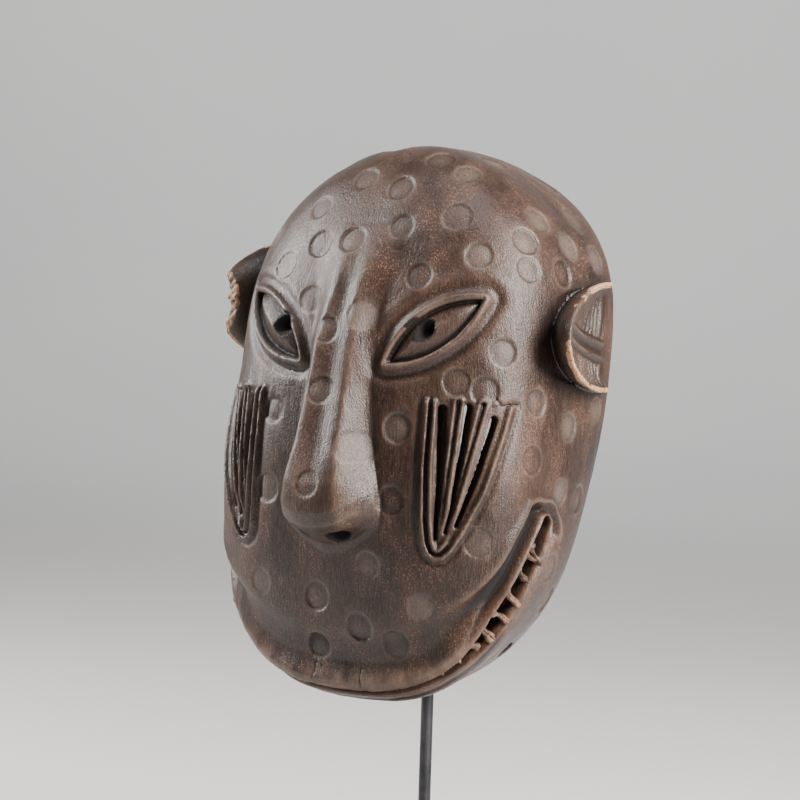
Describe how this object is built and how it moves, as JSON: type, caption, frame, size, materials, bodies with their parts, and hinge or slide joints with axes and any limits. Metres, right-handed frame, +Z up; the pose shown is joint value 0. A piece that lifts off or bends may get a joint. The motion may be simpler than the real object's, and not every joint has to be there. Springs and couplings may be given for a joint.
{
  "type": "carved wooden mask on a stand",
  "caption": "Carved dark wooden face mask with small side ears, pierced cheek fans and a jaw-wide toothed mouth, resting on a steel rod stand.",
  "frame": {"origin": "centre of the base's underside, on the surface it stands on", "axes": "+Z up along the rod, the face looks towards -Y, +X to the viewer's right when facing the mask"},
  "size_m": [0.2344, 0.2, 0.46],
  "materials": {
    "carved_wood": "dark oiled and handled patina, semi-gloss on the high spots",
    "bare_wood": "bare, rough and fibrous",
    "black_painted_wood": "satin black paint",
    "blackened_steel": "blackened, satin",
    "brass": "plain turned, slightly dull",
    "felt": "dense wool felt",
    "rubber": "matt black"
  },
  "bodies": {
    "base": {"stand_base": "black_painted_wood", "foot_pad_1": "felt", "foot_pad_2": "felt", "foot_pad_3": "felt", "foot_pad_4": "felt", "rod_socket": "blackened_steel", "flange_screw_1": "blackened_steel", "flange_screw_2": "blackened_steel", "flange_screw_3": "blackened_steel"},
    "clamp": {"clamp_screw": "brass"},
    "rod": {"stand_rod": "blackened_steel", "bracket_sleeve": "blackened_steel", "crown_arm": "blackened_steel", "crown_pad": "felt", "side_arm_l": "blackened_steel", "side_arm_r": "blackened_steel", "arm_tip_l": "rubber", "arm_tip_r": "rubber", "chin_clip": "blackened_steel", "chin_arm": "blackened_steel", "chin_tip": "rubber"},
    "mask": {"mask_shell": "carved_wood", "tooth_l_1": "bare_wood", "tooth_l_2": "bare_wood", "tooth_l_3": "bare_wood", "tooth_l_4": "bare_wood", "tooth_l_5": "bare_wood", "tooth_l_6": "bare_wood", "tooth_l_7": "bare_wood", "tooth_l_8": "bare_wood", "tooth_r_1": "bare_wood", "tooth_r_2": "bare_wood", "tooth_r_3": "bare_wood", "tooth_r_4": "bare_wood", "tooth_r_5": "bare_wood", "tooth_r_6": "bare_wood", "tooth_r_7": "bare_wood", "tooth_r_8": "bare_wood"}
  },
  "joints": [
    {"name": "rod_turn", "type": "hinge", "parent": "base", "child": "rod", "pos_m": [0, 0.02, 0.0376], "axis": [0, 0, 1], "continuous": true},
    {"name": "clamp_turn", "type": "hinge", "parent": "base", "child": "clamp", "pos_m": [0.02, 0.02, 0.0376], "axis": [1, 0, 0], "continuous": true},
    {"name": "mask_lift", "type": "slide", "parent": "rod", "child": "mask", "axis": [0, -0.9, 0.4359], "range_m": [0, 0.15]}
  ]
}
